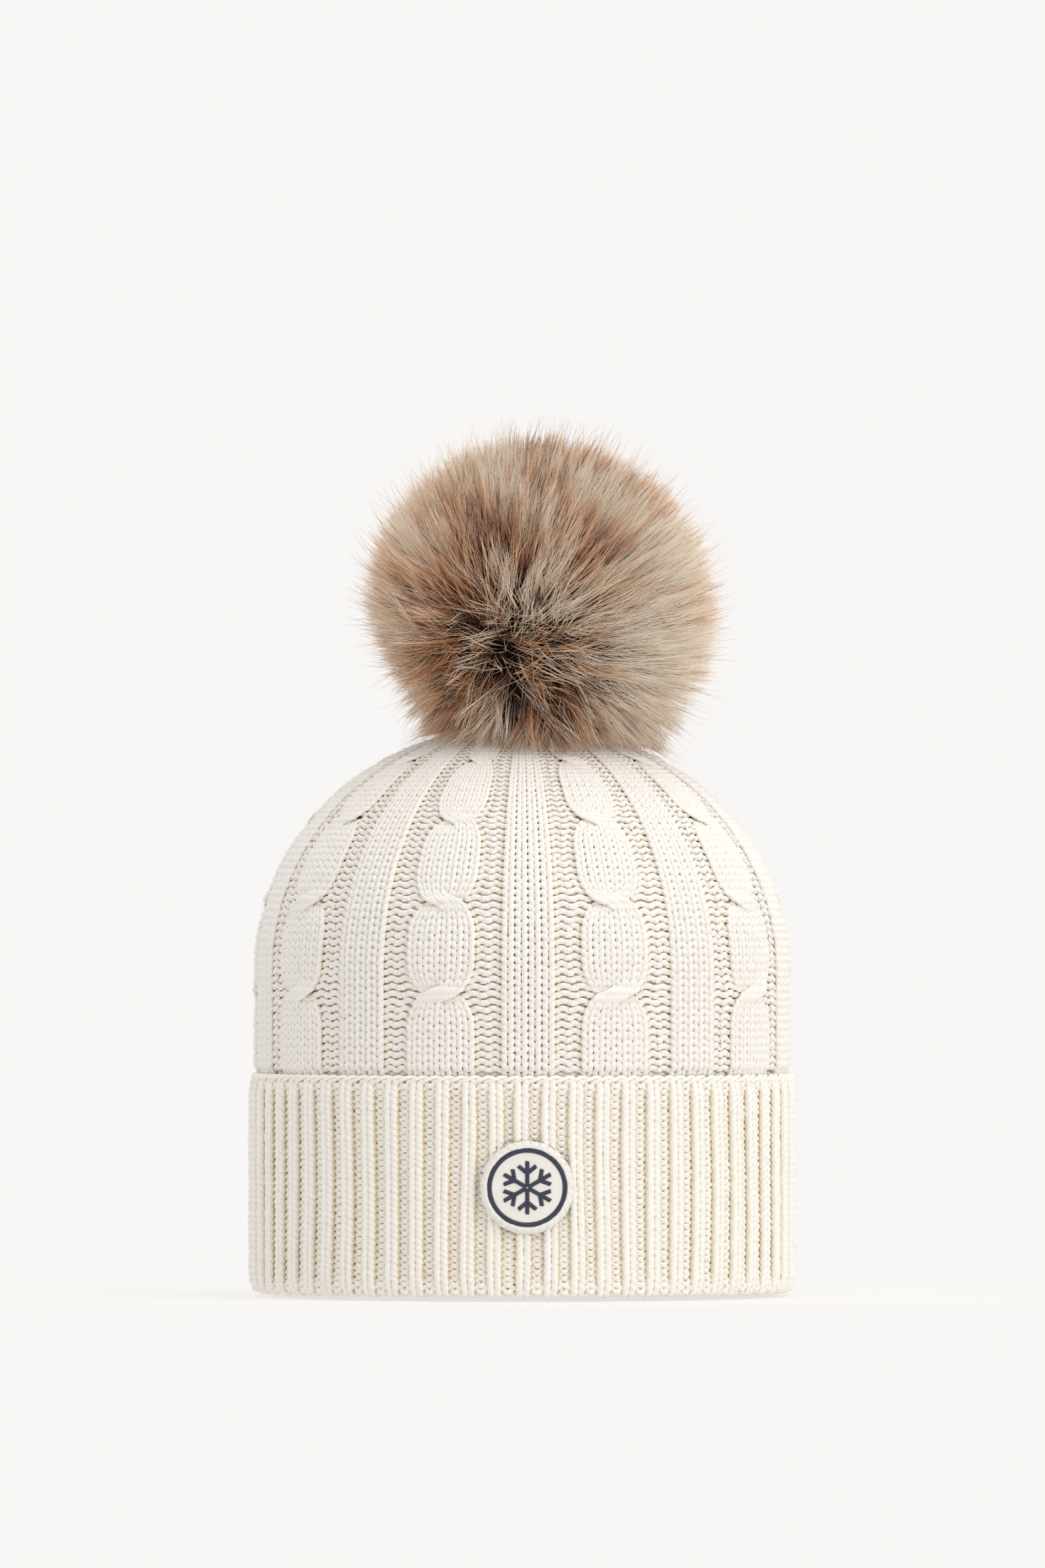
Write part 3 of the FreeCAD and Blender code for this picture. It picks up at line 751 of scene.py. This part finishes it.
def gathered(paths, locks, pull):
    """Draws each hair towards its lock, more so at the tip."""
    u = np.linspace(0, 1, paths.shape[1])[None, :, None]
    share = pull[:, None, None] * smooth(u * 1.1)
    return paths * (1 - share) + locks * share


def above_crown(paths, clearance):
    """Lifts what would lie inside the crown onto its surface."""
    centre = np.array([0, 0, WIDEST_LEVEL])
    off = paths - centre
    wide = CROWN_RADIUS + clearance
    rise = CROWN_RISE + clearance
    depth = np.sqrt((off[..., 0] ** 2 + off[..., 1] ** 2) / wide**2 + off[..., 2] ** 2 / rise**2)
    push = np.maximum(1 / np.maximum(depth, 0.2), 1)
    inside = (depth < 1) & (off[..., 2] > 0)
    return np.where(inside[..., None], centre + off * push[..., None], paths)


def zone_tones(direction, chance):
    """Zones of cream, tan, ginger and brown, and locks of every tone in each."""
    zone = 0.18 + 0.06 * near_whorl(direction, 0.4) + 0.14 * patchy(direction, chance)
    zone = zone + 0.34 * patchy(direction, chance, 40, 8.0, 18.0)
    spots = (
        ((-0.75, -0.60, 0.15), -0.12, 0.50),
        ((0.72, -0.66, 0.05), -0.24, 0.50),
        ((0.60, -0.60, -0.50), -0.50, 0.50),
        ((0.15, -0.45, 0.88), 0.24, 0.50),
        ((0.12, -0.97, 0.15), 0.26, 0.34),
        ((-0.55, -0.70, -0.35), 0.10, 0.35),
        ((0.05, -0.70, -0.70), 0.22, 0.40),
    )
    for place, change, size in spots:
        apart = np.linalg.norm(direction - unit(np.array(place)), axis=-1)
        zone = zone + change * np.exp(-((apart / size) ** 2))
    return zone + chance.normal(0, 0.38, len(direction))


def tufted_hairs(chance):
    """Hairs gathered into locks: their directions, paths and tones."""
    lock_directions = scatter(LOCKS, chance)
    left = chance.uniform(0, 1, LOCKS) > THINNED * near_whorl(lock_directions, 0.5)
    lock_directions = lock_directions[left]
    count = len(lock_directions)
    lock_curl = LOCK_CURL * chance.uniform(0.2, 1, count)
    locks = hair_paths(lock_directions, chance.normal(0.985, 0.035, count), lock_curl, chance, 0.13)
    lock_tones = zone_tones(lock_directions, chance)
    direction = scatter(FUR_STRANDS, chance)
    lock = nearest_of(lock_directions, direction)
    reach = chance.uniform(0.88, 1.02, FUR_STRANDS) - 0.04 * near_whorl(direction, 0.5)
    curl = HAIR_CURL * chance.uniform(0.2, 1.2, FUR_STRANDS)
    paths = hair_paths(direction, reach, curl, chance, 0.11)
    pull = chance.uniform(0.50, 0.94, FUR_STRANDS) + 0.1 * near_whorl(direction, 0.6)
    paths = gathered(paths, locks[lock], np.minimum(pull, 0.97))
    return direction, paths, lock_tones[lock] + chance.normal(0, 0.15, FUR_STRANDS)


def guard_hairs(chance):
    """Longer, finer and darker single hairs."""
    direction = scatter(GUARD_HAIRS, chance)
    reach = chance.uniform(1.0, 1.15, GUARD_HAIRS)
    curl = GUARD_CURL * chance.uniform(0.2, 1.0, GUARD_HAIRS)
    paths = hair_paths(direction, reach, curl, chance, 0.16)
    return direction, paths, zone_tones(direction, chance) + 0.35


def fur(look):
    chance = np.random.default_rng(21)
    coats = [tufted_hairs(chance), guard_hairs(chance)]
    direction, paths, tone = (np.concatenate(parts) for parts in zip(*coats))
    tone = np.clip(tone, 0, 1)
    u = np.linspace(0, 1, HAIR_STEPS + 1)[None, :]
    taper = np.clip(1.12 - u**1.6, 0.12, 1)
    girth = np.repeat([HAIR_RADIUS, GUARD_RADIUS], [FUR_STRANDS, GUARD_HAIRS])[:, None]
    radius = girth * taper * chance.uniform(0.7, 1.3, (len(paths), 1))
    paths = above_crown(paths, chance.uniform(0.8, 4.0, (len(paths), 1)) * MM)
    facing = np.broadcast_to(direction[:, None] + 0.01, paths.shape)
    bitangent = np.cross(np.gradient(paths, axis=1), facing)
    facing = np.where(np.linalg.norm(bitangent, axis=-1, keepdims=True) < 1e-7, [1.0, 0, 0], facing)
    order = chance.permutation(len(paths))
    for number, chosen in enumerate(np.array_split(order, FUR_PIECES), 1):
        shape = (len(chosen), HAIR_STEPS + 1)
        facts = {
            "tone": np.broadcast_to(tone[chosen][:, None], shape),
            # at the whorl the dark roots reach further up each hair, as painted shade where the hair
            # parts
            "along": u * (1 - WHORL_SHADE * near_whorl(direction[chosen], 0.40))[:, None],
        }
        piece = tubes(f"fur_hairs_{number}", paths[chosen], facing[chosen], radius[chosen], 3, facts)
        finish_piece(piece, look, "pom", "fur", *(["pom_fur"] if number == 1 else []))


# ---- the patch


def on_cuff(across, up, height):
    """A point of the patch: across and up from its middle, height above the cuff."""
    angle = (PATCH_CENTRE.x + across) / CUFF_RADIUS
    return turned_point(angle, CUFF_RADIUS + height, PATCH_CENTRE.z + up)


def satin(name, starts, ends, height, bulge, radius, look, slot, node):
    """A row of embroidery threads, each from a start to an end on the patch, arched in the middle."""
    steps = 7
    u = np.linspace(0, 1, steps)[None, :]
    across = starts[:, :1] * (1 - u) + ends[:, :1] * u
    up = starts[:, 1:] * (1 - u) + ends[:, 1:] * u
    lift = height + bulge * np.sin(math.pi * u) ** 0.6
    paths = on_cuff(across, up, lift)
    facing = np.broadcast_to([0.0, -1.0, 0.0], paths.shape)
    taper = np.clip(np.sin(math.pi * (0.04 + 0.92 * u)), 0.12, 1) ** 0.4
    piece = tubes(name, paths, facing, np.broadcast_to(radius * taper, lift.shape), 5)
    finish_piece(piece, look, "hat", slot, node)


def round_patch(count, inner, outer, slant=0.0):
    """The two ends of stitches that stand round the patch's middle."""
    spin = np.arange(count) / count * TURN
    starts = inner * np.stack([np.cos(spin), np.sin(spin)], -1)
    return starts, outer * np.stack([np.cos(spin + slant), np.sin(spin + slant)], -1)


def patch_felt(look):
    """A felt disc with a soft rolled edge, dimpled where the edge stitches pull it in."""
    rings = 26
    around = 272
    share = np.linspace(0.0, 1.0, rings)[:, None] ** 0.8
    angle = np.linspace(0, TURN, around, endpoint=False)[None, :]
    back = 0.3 * MM
    roll = 0.55 * MM * np.exp(-(((share - 0.90) / 0.065) ** 2))
    dimple = 0.45 * MM * np.exp(-(((share - 0.93) / 0.03) ** 2))
    dimple = dimple * (0.5 + 0.5 * np.cos(EDGE_STITCHES * angle)) ** 3
    top = FELT_FACE + roll - dimple + 0.05 * MM * np.sin(9 * angle + 5) * share
    edge = smooth((1 - share) / 0.05)
    height = back + (top - back) * (0.35 + 0.65 * edge)
    ragged = 1 + 0.006 * np.sin(17 * angle) + 0.004 * np.sin(41 * angle + 2)
    reach = PATCH_RADIUS * share * ragged
    reach = np.concatenate([reach, reach[-1:]])
    height = np.concatenate([height, np.full((1, around), back - 0.2 * MM)])
    grid = on_cuff(reach * np.cos(angle), reach * np.sin(angle), height)
    piece = surface("patch_felt_disc", grid[::-1], closed=(False, True))
    finish_piece(piece, look, "hat", "felt", "patch_felt")


def patch_border(look):
    outer = (high("patch_border").x - low("patch_border").x) / 2
    ends = round_patch(230, outer - 1.8 * MM, outer, slant=0.03)
    shape = (FELT_FACE, 0.35 * MM, 0.19 * MM)
    satin("patch_border_threads", *ends, *shape, look, "navy_thread", "patch_border")


def patch_emblem(look):
    """A six-armed snowflake in satin stitch: threads across each bar, side by side."""
    span = high("patch_emblem").z - low("patch_emblem").z
    width = 1.4 * MM
    branch = 3.6 * MM
    pitch = 0.27 * MM
    starts = []
    ends = []
    bars = []
    for arm in range(6):
        spin = math.radians(60 * arm + 30)
        bars.append((0.5 * MM, span / 2, spin, 0, 0))
        for side in (-1, 1):
            bars.append((0, branch, spin + side * math.radians(50), spin, span * 0.27))
    for start, end, spin, root_spin, root in bars:
        along = np.array([math.cos(spin), math.sin(spin)])
        over = np.array([-along[1], along[0]])
        origin = root * np.array([math.cos(root_spin), math.sin(root_spin)])
        for reach in np.arange(start, end, pitch):
            middle = origin + along * reach
            starts.append(middle - over * width / 2 - along * 0.12 * MM)
            ends.append(middle + over * width / 2 + along * 0.12 * MM)
    ends = (np.array(starts), np.array(ends))
    shape = (FELT_FACE, 0.32 * MM, 0.16 * MM)
    satin("patch_emblem_threads", *ends, *shape, look, "navy_thread", "patch_emblem")


def patch_stitches(look):
    """Short stitches that hold the felt to the cuff, one in each dimple."""
    ends = round_patch(EDGE_STITCHES, 13.7 * MM, 15.2 * MM)
    shape = (FELT_FACE - 0.15 * MM, 0.2 * MM, 0.2 * MM)
    satin("patch_edge_threads", *ends, *shape, look, "sewing_thread", "patch_stitches")


# ---- linings, cords and label


def ring_of(node):
    """The ring that a CAD node makes: its radius, its level and the radius of its cord."""
    thick = (high(node).z - low(node).z) / 2
    return high(node).x - thick, (high(node).z + low(node).z) / 2, thick


def ring_yarn(name, ring, plies, turns, look, body, slot, *nodes):
    """A ring of plied yarn about the hat's axis."""
    radius, level, thick = ring
    steps = 14 * turns
    angle = np.linspace(0, TURN, steps + 1)[None, :]
    phase = np.arange(plies)[:, None] / plies * TURN
    off = thick * 0.55  # the radius of a ply, and how far it lies off the middle
    reach = radius + off * np.cos(turns * angle + phase)
    height = level + off * np.sin(turns * angle + phase)
    paths = turned_point(angle + 0 * phase, reach, height)
    facing = turned_point(angle + 0 * phase, np.ones_like(reach), np.zeros_like(reach))
    facts = {"depth": np.ones(reach.shape)}
    piece = tubes(name, paths, facing, np.full(reach.shape, off), 8, facts)
    finish_piece(piece, look, body, slot, *nodes)


def fleece_band(look, thread_look):
    inner = 79.6 * MM  # the radius of the head opening
    outer = high("fleece_band").x
    bottom = low("fleece_band").z
    top = high("fleece_band").z
    middle = (inner + outer) / 2
    level = np.linspace(bottom, top, 46)[:, None]
    angle = np.linspace(0, TURN, 360, endpoint=False)[None, :]
    nap = 0.12 * MM * np.sin(57 * angle + level / MM) * np.sin(level / (2.3 * MM) + 31 * angle)
    grid = turned_point(angle + 0 * level, middle + nap, level + 0 * angle)
    band = surface("fleece_lining", grid, closed=(False, True))
    thicken(band, outer - inner - 0.3 * MM)
    finish_piece(band, look, "hat", "fleece", "fleece_band")
    overlock = []
    turns = 220
    spin = np.linspace(0, TURN, turns * 8 + 1)[None, :]
    for edge, way in ((bottom, -1), (top, 1)):
        reach = middle + 1.0 * MM * np.cos(turns * spin)
        rise = edge - way * 1.1 * MM + way * 1.5 * MM * np.sin(turns * spin)
        overlock.append(turned_point(spin, reach, rise))
    paths = np.concatenate(overlock)
    facing = np.broadcast_to([0.0, 0.0, 1.0], paths.shape) + 0.01
    piece = tubes("fleece_overlock", paths, facing, np.full(paths.shape[:2], 0.2 * MM), 5)
    finish_piece(piece, thread_look, "hat", "sewing_thread", "fleece_band_stitching")


def back_seam(look):
    """The linking yarn, wound along the seam up the inside of the back."""
    profile = crown_profile()
    arc = np.linspace(3 * MM, 100 * MM, 900)[None, :]
    radius, level, out, up = profile.at(arc)
    sink = 3.0 * MM
    turns = arc / (2.4 * MM) * TURN
    across = math.pi + 1.0 * MM * np.cos(turns) / CROWN_RADIUS
    height = -sink + 0.6 * MM * np.sin(turns)
    paths = turned_point(across, radius + height * out, level + height * up)
    facing = turned_point(across, out, up)
    piece = tubes("seam_yarn", paths, facing, np.full(arc.shape, 0.6 * MM), 8)
    finish_piece(piece, look, "hat", "wool", "back_seam")


def care_label(look, thread_look):
    """A folded loop of blank tape, sewn into the seam by its two ends."""
    lo = low("care_label")
    hi = high("care_label")
    length = hi.x - lo.x
    height = hi.z - lo.z
    fold = np.linspace(0, 1, 61)[:, None]
    up = np.linspace(lo.z, hi.z, 24)[None, :]
    reach = length * np.clip(1 - np.abs(2 * fold - 1), 0, 1) ** 0.9
    lean = math.radians(7)
    gap = 0.35 * MM * np.sin(math.pi * np.clip(reach / length, 0, 1)) * np.where(fold < 0.5, -1, 1)
    curl = 0.8 * MM * (reach / length) ** 2 * np.sin((up - lo.z) / height * 2.2)
    x = 0.6 * MM + reach * math.cos(lean) + 0 * up
    y = hi.y - 0.55 * MM - reach * math.sin(lean) + gap + 0.3 * curl - 0.2 * MM
    tape_piece = surface("label_tape_loop", np.stack([x, y + 0 * up, up + 0 * reach], -1))
    thicken(tape_piece, 0.14 * MM)
    finish_piece(tape_piece, look, "label", "label_tape", "care_label")
    pitch = height / 4
    start = lo.z + (np.arange(4)[:, None] + 0.2) * pitch
    u = np.linspace(0, 1, 7)[None, :]
    rise = start + 0.6 * pitch * u
    bow = 0.25 * MM * np.sin(math.pi * u)
    paths = np.stack([0 * rise, 0 * rise + high("care_label_stitches").y - 0.5 * MM - bow, rise], -1)
    facing = np.broadcast_to([0.0, -1.0, 0.0], paths.shape)
    radii = np.broadcast_to(0.3 * MM * np.clip(np.sin(math.pi * u), 0.2, 1) ** 0.4, rise.shape)
    piece = tubes("label_threads", paths, facing, radii, 6)
    finish_piece(piece, thread_look, "hat", "sewing_thread", "care_label_stitches")


def pom_core(skin_look, filling_look):
    """The backing ball, gathered at its neck, and the filling inside it."""
    angle = np.linspace(0, TURN, 144, endpoint=False)[None, :]
    neck = 12.6 * MM
    lowest = -math.acos(neck / CORE_RADIUS)
    tilt = np.linspace(lowest, math.pi / 2 - 0.02, 60)[:, None]
    gather = smooth((lowest + 0.5 - tilt) / 0.5)
    radius = CORE_RADIUS - 0.6 * MM + 0.4 * MM * gather * np.sin(24 * angle)
    x = CORE_CENTRE.x * (1 - gather) + radius * np.cos(tilt) * np.cos(angle)
    y = radius * np.cos(tilt) * np.sin(angle)
    z = CORE_CENTRE.z + radius * np.sin(tilt)
    skin = surface("core_backing", np.stack([x, y, z + 0 * angle], -1), closed=(False, True))
    thicken(skin, 0.9 * MM)
    finish_piece(skin, skin_look, "pom", "backing_cloth", "pom_skin")
    ball = CORE_RADIUS - 2.0 * MM
    tilt = np.linspace(-math.pi / 2 + 0.03, math.pi / 2 - 0.03, 50)[:, None]
    lump = 1 + 0.01 * np.sin(5 * angle + 3 * tilt) + 0.008 * np.sin(9 * angle) * np.cos(7 * tilt) - 0.01
    x = CORE_CENTRE.x + ball * lump * np.cos(tilt) * np.cos(angle)
    y = ball * lump * np.cos(tilt) * np.sin(angle)
    z = np.maximum(CORE_CENTRE.z + ball * lump * np.sin(tilt), low("pom_filling").z)
    filling = surface("core_filling", np.stack([x, y, z], -1), closed=(False, True))
    finish_piece(filling, filling_look, "pom", "fibrefill", "pom_filling")


def stray_fibres(look):
    """Fine loose fibres that stand off the wool."""
    chance = np.random.default_rng(31)
    paths = []
    crown = crown_profile()
    cuff = cuff_profile()
    for profile, count, crest in ((crown, 2600, 1.7 * MM), (cuff, 1800, 2.1 * MM)):
        arc = chance.uniform(profile.arc[0] + 6 * MM, profile.arc[-1] - 4 * MM, (count, 1))
        angle = chance.uniform(0, TURN, (count, 1))
        u = np.linspace(0, 1, 6)[None, :]
        reach = chance.uniform(1.5, 5.0, (count, 1)) * MM
        heading = chance.uniform(0, TURN, (count, 1))
        bend = chance.normal(0, 1.3, (count, 1))
        swing = heading + bend * u
        radius, level, out, up = profile.at(arc + reach * u * np.sin(swing))
        lift = chance.uniform(0.4, 1.6, (count, 1)) * MM
        height = crest - 0.6 * MM + lift * np.sin(math.pi * u * 0.75)
        turn = angle + reach * u * np.cos(swing) / np.maximum(radius, 20 * MM)
        paths.append(turned_point(turn, radius + height * out, level + height * up))
    paths = np.concatenate(paths)
    radii = 0.035 * MM * np.clip(1.1 - np.linspace(0, 1, 6), 0.3, 1)[None, :] * np.ones((len(paths), 1))
    facing = np.broadcast_to([0.13, 0.21, 0.97], paths.shape)
    facts = {"depth": np.ones(paths.shape[:2])}
    piece = tubes("wool_halo", paths, facing, radii, 3, facts)
    finish_piece(piece, look, "hat", "wool")


# ---- the studio

CAMERA_DISTANCE = 6.0
CAMERA_LEVEL = 0.140
FRAME_HEIGHT = 0.508  # what the picture spans at the hat
FRAME_MIDDLE = 0.1658
BACKGROUND = (0.947, 0.930, 0.913)
ROOM_LIGHT = 0.80
FLOOR_TONE = (0.90, 0.885, 0.865)
FLOOR_FADE = (0.095, 0.22)  # distances from the hat's axis
FLOOR_GLOW = 0.72  # share of the room's brightness under the hat


def camera():
    lens = bpy.data.cameras.new("camera")
    lens.sensor_width = 36
    lens.lens = lens.sensor_width * CAMERA_DISTANCE / FRAME_HEIGHT
    lens.shift_y = (FRAME_MIDDLE - CAMERA_LEVEL) / FRAME_HEIGHT
    lens.clip_start = 0.5
    lens.clip_end = 50
    eye = bpy.data.objects.new("camera", lens)
    eye.location = (0, -CAMERA_DISTANCE, CAMERA_LEVEL)
    eye.rotation_euler = (math.pi / 2, 0, 0)
    bpy.context.scene.collection.objects.link(eye)
    bpy.context.scene.camera = eye


def lamp(name, place, size, power, colour=(1, 1, 1)):
    light = bpy.data.lights.new(name, "AREA")
    light.energy = power
    light.size = size
    light.color = colour
    thing = bpy.data.objects.new(name, light)
    thing.location = place
    target = Vector((0, 0, 0.13))
    thing.rotation_euler = (Vector(place) - target).to_track_quat("Z", "Y").to_euler()
    bpy.context.scene.collection.objects.link(thing)


def room():
    """Pale all round, and a little dimmer as a light than it looks."""
    world = bpy.data.worlds.new("room")
    bpy.context.scene.world = world
    world.use_nodes = True
    tree = world.node_tree
    light = tree.nodes["Background"]
    seen = tree.nodes.new("ShaderNodeBackground")
    for background, strength in ((light, ROOM_LIGHT), (seen, 1.0)):
        background.inputs["Color"].default_value = (*BACKGROUND, 1)
        background.inputs["Strength"].default_value = strength
    ray = tree.nodes.new("ShaderNodeLightPath")
    blend = tree.nodes.new("ShaderNodeMixShader")
    tree.links.new(ray.outputs["Is Camera Ray"], blend.inputs["Fac"])
    tree.links.new(light.outputs["Background"], blend.inputs[1])
    tree.links.new(seen.outputs["Background"], blend.inputs[2])
    tree.links.new(blend.outputs["Shader"], tree.nodes["World Output"].inputs["Surface"])


def floor():
    """Pale, and nearer the room's own brightness further from the hat."""
    bpy.ops.mesh.primitive_plane_add(size=12, location=(0, 0, 0))
    plane = bpy.context.object
    plane.name = "floor"
    look = Look("floor", 0.9)
    look.shader.inputs["Specular IOR Level"].default_value = 0.1
    look.colour(FLOOR_TONE)
    far = look.node("Emission", {"Color": BACKGROUND}).outputs["Emission"]
    away = look.node("VectorMath", {0: look.place}, operation="LENGTH").outputs["Value"]
    fade = look.range(away, *FLOOR_FADE, FLOOR_GLOW, 1.0, interpolation_type="SMOOTHSTEP")
    blend = look.node("MixShader", {0: fade, 1: look.shader.outputs["BSDF"], 2: far})
    look.set(look.tree.nodes["Material Output"].inputs["Surface"], blend.outputs["Shader"])
    plane.data.materials.append(look.material)


def studio():
    """A pale room, a soft key from the right and even fill."""
    room()
    lamp("key", (2.1, -1.7, 0.9), 1.8, 24, (1.0, 0.985, 0.965))
    lamp("top", (0.3, -0.3, 2.2), 1.6, 17)
    lamp("fill", (-1.6, -2.4, 1.2), 2.0, 5)
    floor()
    bpy.context.scene.view_settings.view_transform = "Standard"


# ---- the whole hat


def dress(node, look):
    """A new material for a CAD node whose shape stays."""
    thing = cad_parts[node]
    thing.data.materials.clear()
    thing.data.materials.append(look)


def main():
    camera()
    studio()
    yarn = wool("wool", *CROWN_WOOL_AND_SHADE)
    cuff_yarn = wool("cuff_wool", *CUFF_WOOL_AND_SHADE)
    shade = wool_shade()
    felt_look = felt()
    white_thread = thread("sewing_thread", (0.74, 0.70, 0.62), (0.84, 0.81, 0.75), 0.6, 0.3)
    navy_thread = thread("navy_thread", (0.012, 0.016, 0.045), (0.035, 0.042, 0.085), 0.42, 0.3)
    nickel = metal("nickel", (0.72, 0.70, 0.67))
    spring = metal("spring_wire", (0.55, 0.52, 0.48))
    knit_crown(yarn, shade)
    knit_cuff(cuff_yarn, shade)
    knit_inner_band(yarn)
    stray_fibres(yarn)
    fur(fur_look())
    patch_felt(felt_look)
    patch_border(navy_thread)
    patch_emblem(navy_thread)
    patch_stitches(white_thread)
    fleece_band(fleece(), white_thread)
    back_seam(yarn)
    care_label(tape(), white_thread)
    pom_core(
        cloth("backing_cloth", (0.30, 0.20, 0.13), (0.42, 0.30, 0.21)),
        cloth("fibrefill", (0.80, 0.80, 0.78), (0.92, 0.92, 0.90)),
    )
    gather = ring_of("crown_gather_yarn")
    ring_yarn("gather_yarn", gather, 2, 12, yarn, "hat", "wool", "crown_gather_yarn")
    cord = cloth("cord", (0.30, 0.22, 0.15), (0.42, 0.33, 0.24))
    ring_yarn("neck_cord", ring_of("pom_drawstring"), 3, 20, cord, "pom", "cord", "pom_drawstring")
    dress("patch_backing", felt("patch_backing", (0.82, 0.81, 0.77), (0.74, 0.73, 0.69)))
    for node in ("outer_disc", "inner_disc", "pom_base_disc"):
        dress(node, felt_look)
    for node in ("snap_stud", "snap_stud_cap", "snap_socket", "snap_socket_cap"):
        dress(node, nickel)
    dress("snap_spring", spring)


main()
